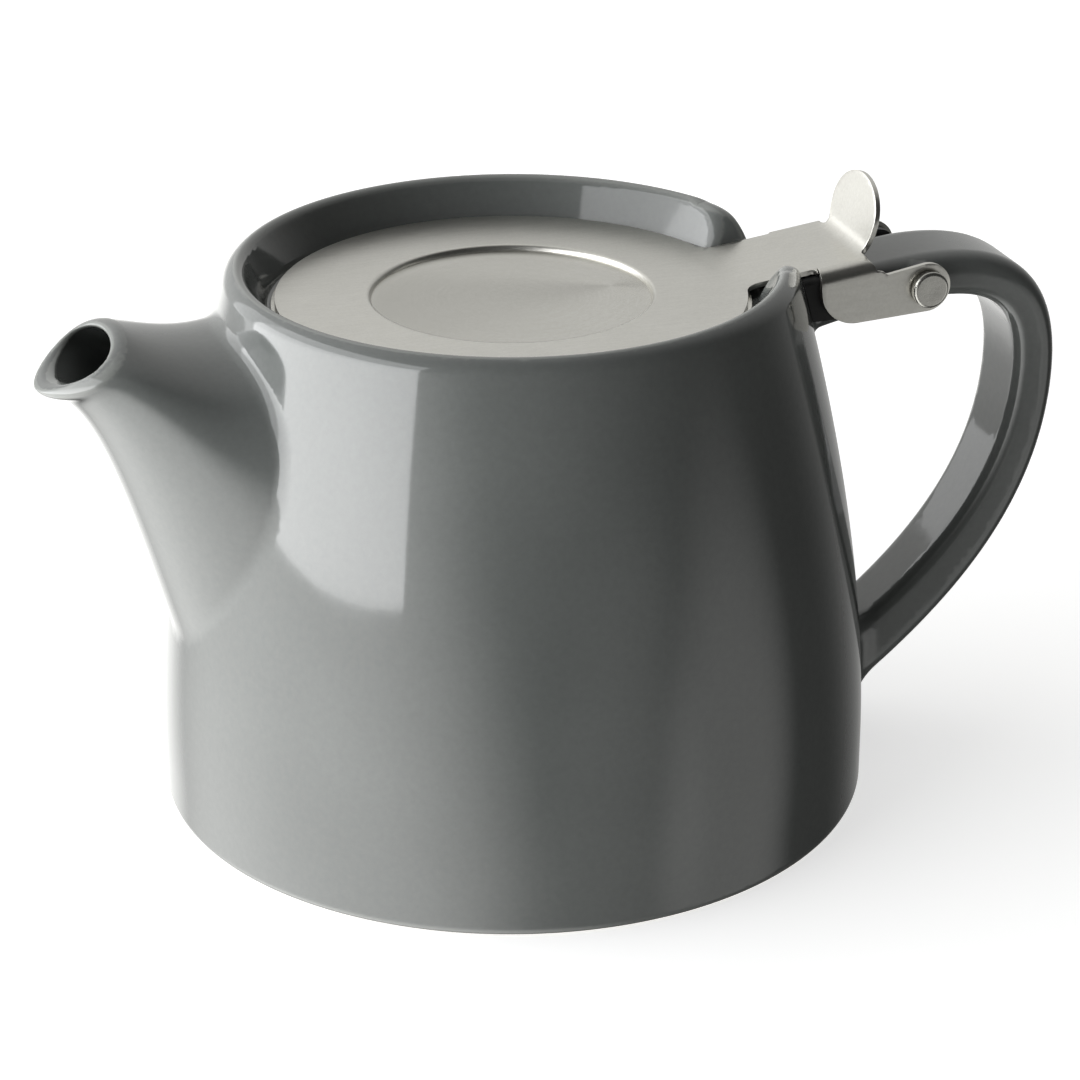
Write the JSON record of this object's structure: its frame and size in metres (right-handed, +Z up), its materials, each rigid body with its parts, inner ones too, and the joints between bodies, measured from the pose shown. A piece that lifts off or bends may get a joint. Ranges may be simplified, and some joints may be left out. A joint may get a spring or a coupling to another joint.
{
  "type": "infuser teapot",
  "caption": "Small glazed ceramic teapot with spout and strap handle in one piece, a hinged steel lid with a thumb tab and a lift-out steel infuser.",
  "frame": {"origin": "on the body's axis, in the plane of the foot ring's underside, which is the table", "axes": "+Z up, +X towards the handle and the hinge, -X towards the spout"},
  "size_m": [0.168, 0.114, 0.0961],
  "materials": {
    "pot": "glossy grey glaze, thinner and paler on sharp edges",
    "lid_plate": "fine brushed stainless steel, turned inside the dish",
    "hinge_pin": "turned stainless steel",
    "pin_nut": "turned stainless steel",
    "bush_near": "black nylon",
    "bush_far": "black nylon",
    "hinge_cushion": "soft black rubber",
    "infuser_collar": "drawn stainless steel",
    "infuser_screen": "perforated stainless steel",
    "infuser_base": "perforated stainless steel"
  },
  "bodies": {
    "teapot": {"pot": "pot", "bush_near": "bush_near", "bush_far": "bush_far", "hinge_cushion": "hinge_cushion", "infuser_collar": "infuser_collar", "infuser_screen": "infuser_screen", "infuser_base": "infuser_base"},
    "lid": {"lid_plate": "lid_plate", "hinge_pin": "hinge_pin", "pin_nut": "pin_nut"}
  },
  "joints": [
    {"name": "lid_hinge", "type": "hinge", "parent": "teapot", "child": "lid", "pos_m": [0.0657, 0, 0.0795], "axis": [0, 1, 0], "range_deg": [0, 95]}
  ]
}
